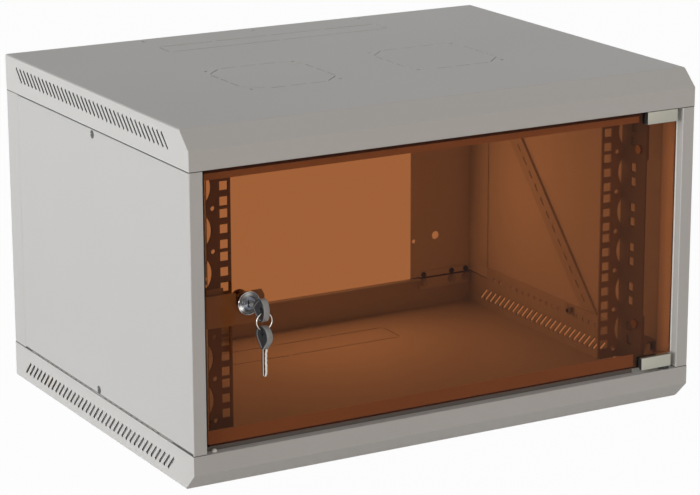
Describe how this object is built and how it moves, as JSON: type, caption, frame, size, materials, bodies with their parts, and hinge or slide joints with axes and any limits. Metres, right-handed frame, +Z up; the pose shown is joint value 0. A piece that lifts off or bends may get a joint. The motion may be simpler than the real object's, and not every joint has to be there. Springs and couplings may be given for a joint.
{
  "type": "wall mount network cabinet",
  "caption": "Wall mount rack cabinet in grey sheet steel with a tinted glass door on corner clamps, cam lock with keys, slanted vents and square-hole rails.",
  "frame": {"origin": "middle of the flat underside of the base, half way between front and wall face", "axes": "+X to the right seen from the door, +Y from the door to the wall, +Z up"},
  "size_m": [0.6, 0.4966, 0.368],
  "materials": {
    "grey_sheet": "light grey powder coat, fine orange peel, satin",
    "rail_steel": "dark powder coat, satin",
    "zinc_steel": "zinc plated steel, dull",
    "dark_screw": "blackened steel",
    "brass_nut": "plain brass",
    "bronze_glass": "bronze tinted toughened glass, polished",
    "clamp_metal": "satin anodised",
    "clear_pad": "soft elastomer pad",
    "chrome": "bright chrome plate",
    "lock_steel": "fine turned steel",
    "key_steel": "nickel plated steel",
    "key_plastic": "black moulded plastic, satin",
    "nylon": "natural nylon"
  },
  "bodies": {
    "cabinet": {"base_tray": "grey_sheet", "door_bumper": "nylon", "door_stop_bottom": "grey_sheet", "door_stop_top": "grey_sheet", "earth_nuts": "brass_nut", "earth_stud": "zinc_steel", "frame_bolts": "zinc_steel", "frame_nuts": "zinc_steel", "front_post_left": "grey_sheet", "front_post_right": "grey_sheet", "keeper_rivets": "zinc_steel", "lock_keeper": "grey_sheet", "lower_strip_left": "grey_sheet", "lower_strip_right": "grey_sheet", "panel_brace_left": "grey_sheet", "panel_brace_right": "grey_sheet", "panel_clips": "zinc_steel", "panel_screws": "dark_screw", "pivot_pin_bottom": "zinc_steel", "pivot_pin_top": "zinc_steel", "pivot_washer": "nylon", "plate_rivets": "dark_screw", "rail_bolts": "zinc_steel", "rail_bracket_lower_left": "rail_steel", "rail_bracket_lower_right": "rail_steel", "rail_bracket_upper_left": "rail_steel", "rail_bracket_upper_right": "rail_steel", "rail_left": "rail_steel", "rail_nuts": "zinc_steel", "rail_right": "rail_steel", "rear_post_left": "grey_sheet", "rear_post_right": "grey_sheet", "side_panel_left": "grey_sheet", "side_panel_right": "grey_sheet", "strip_bolts": "zinc_steel", "top_cover": "grey_sheet", "upper_strip_left": "grey_sheet", "upper_strip_right": "grey_sheet"},
    "door": {"door_glass": "bronze_glass", "hinge_clamp_top": "clamp_metal", "hinge_clamp_bottom": "clamp_metal", "clamp_pads": "clear_pad", "clamp_screws": "zinc_steel", "lock_body": "chrome", "lock_nut": "zinc_steel", "lock_plate": "grey_sheet"},
    "lock_core": {"lock_plug": "lock_steel", "lock_cam": "zinc_steel", "cam_screw": "zinc_steel", "key_bow": "key_plastic", "key_blade": "key_steel"},
    "ring": {"key_ring": "key_steel"},
    "spare_key": {"spare_key_bow": "key_plastic", "spare_key_blade": "key_steel"}
  },
  "joints": [
    {"name": "door_swing", "type": "hinge", "parent": "cabinet", "child": "door", "pos_m": [0.2735, -0.2177, 0.184], "axis": [0, 0, 1], "range_deg": [0, 115]},
    {"name": "key_turn", "type": "hinge", "parent": "door", "child": "lock_core", "pos_m": [-0.238, -0.225, 0.19], "axis": [0, 1, 0], "range_deg": [0, 90]},
    {"name": "ring_swing", "type": "hinge", "parent": "lock_core", "child": "ring", "pos_m": [-0.238, -0.2599, 0.1881], "axis": [1, 0, 0], "range_deg": [-75, 20]},
    {"name": "spare_key_hang", "type": "hinge", "parent": "ring", "child": "spare_key", "pos_m": [-0.238, -0.2599, 0.1796], "axis": [0, 1, 0], "range_deg": [-90, 0]}
  ],
  "couplings": [
    {"joint": "spare_key_hang", "follows": "key_turn", "ratio": -1}
  ]
}
